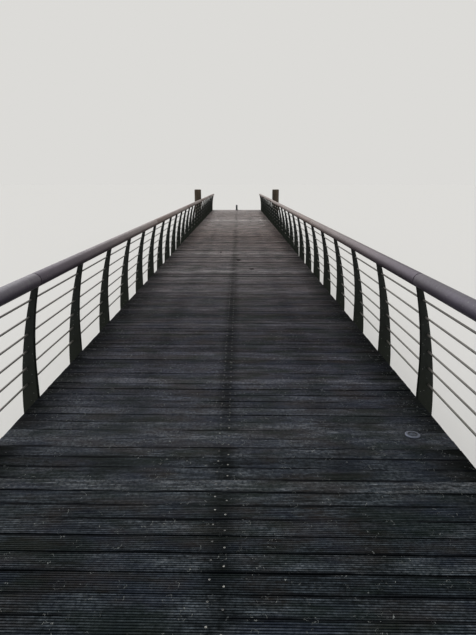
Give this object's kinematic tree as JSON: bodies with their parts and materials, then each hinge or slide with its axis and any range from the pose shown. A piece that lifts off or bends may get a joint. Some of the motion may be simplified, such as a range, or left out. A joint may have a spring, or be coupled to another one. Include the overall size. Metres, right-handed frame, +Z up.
{
  "type": "wooden jetty",
  "caption": "Straight wooden jetty: full-width boards on beams and piles, bowed plate posts with level rods and a round handrail on both sides, tall mooring piles at the far end.",
  "frame": {"origin": "centre of the jetty's plan, at the foot of the piles", "axes": "+Y along the jetty to its far end with the mooring piles, +X to the right looking along +Y, +Z up"},
  "size_m": [5.41, 36, 2.49],
  "materials": {
    "deck_boards": "ribbed hardwood boards, weathered grey",
    "frame_timber": "sawn hardwood beams, weathered dark",
    "pile_timber": "round hardwood, wet and green with algae",
    "railing_steel": "dark grey-green, dull, with a film of algae",
    "rod_steel": "dull galvanised round bar",
    "handrail_tube": "dull galvanised tube, pale grey",
    "bollard_steel": "dark dull steel",
    "stud_metal": "worn turned steel",
    "screw_steel": "weathered screw and bolt heads"
  },
  "bodies": {
    "root": {"deck_bay_1": "deck_boards", "deck_bay_2": "deck_boards", "deck_bay_3": "deck_boards", "deck_bay_4": "deck_boards", "deck_bay_5": "deck_boards", "deck_bay_6": "deck_boards", "left_railing_1": "railing_steel", "left_railing_2": "railing_steel", "left_railing_3": "railing_steel", "left_railing_4": "railing_steel", "left_railing_5": "railing_steel", "left_railing_6": "railing_steel", "right_railing_1": "railing_steel", "right_railing_2": "railing_steel", "right_railing_3": "railing_steel", "right_railing_4": "railing_steel", "right_railing_5": "railing_steel", "right_railing_6": "railing_steel", "cap_beam_1": "frame_timber", "cap_beam_2": "frame_timber", "cap_beam_3": "frame_timber", "cap_beam_4": "frame_timber", "cap_beam_5": "frame_timber", "cap_beam_6": "frame_timber", "cap_beam_7": "frame_timber", "left_beam": "frame_timber", "centre_beam": "frame_timber", "right_beam": "frame_timber", "piles_1": "pile_timber", "piles_2": "pile_timber", "piles_3": "pile_timber", "piles_4": "pile_timber", "piles_5": "pile_timber", "piles_6": "pile_timber", "piles_7": "pile_timber", "left_mooring_pile": "pile_timber", "right_mooring_pile": "pile_timber", "left_handrail": "handrail_tube", "right_handrail": "handrail_tube", "end_bollard": "bollard_steel", "deck_stud": "stud_metal"}
  },
  "joints": []
}
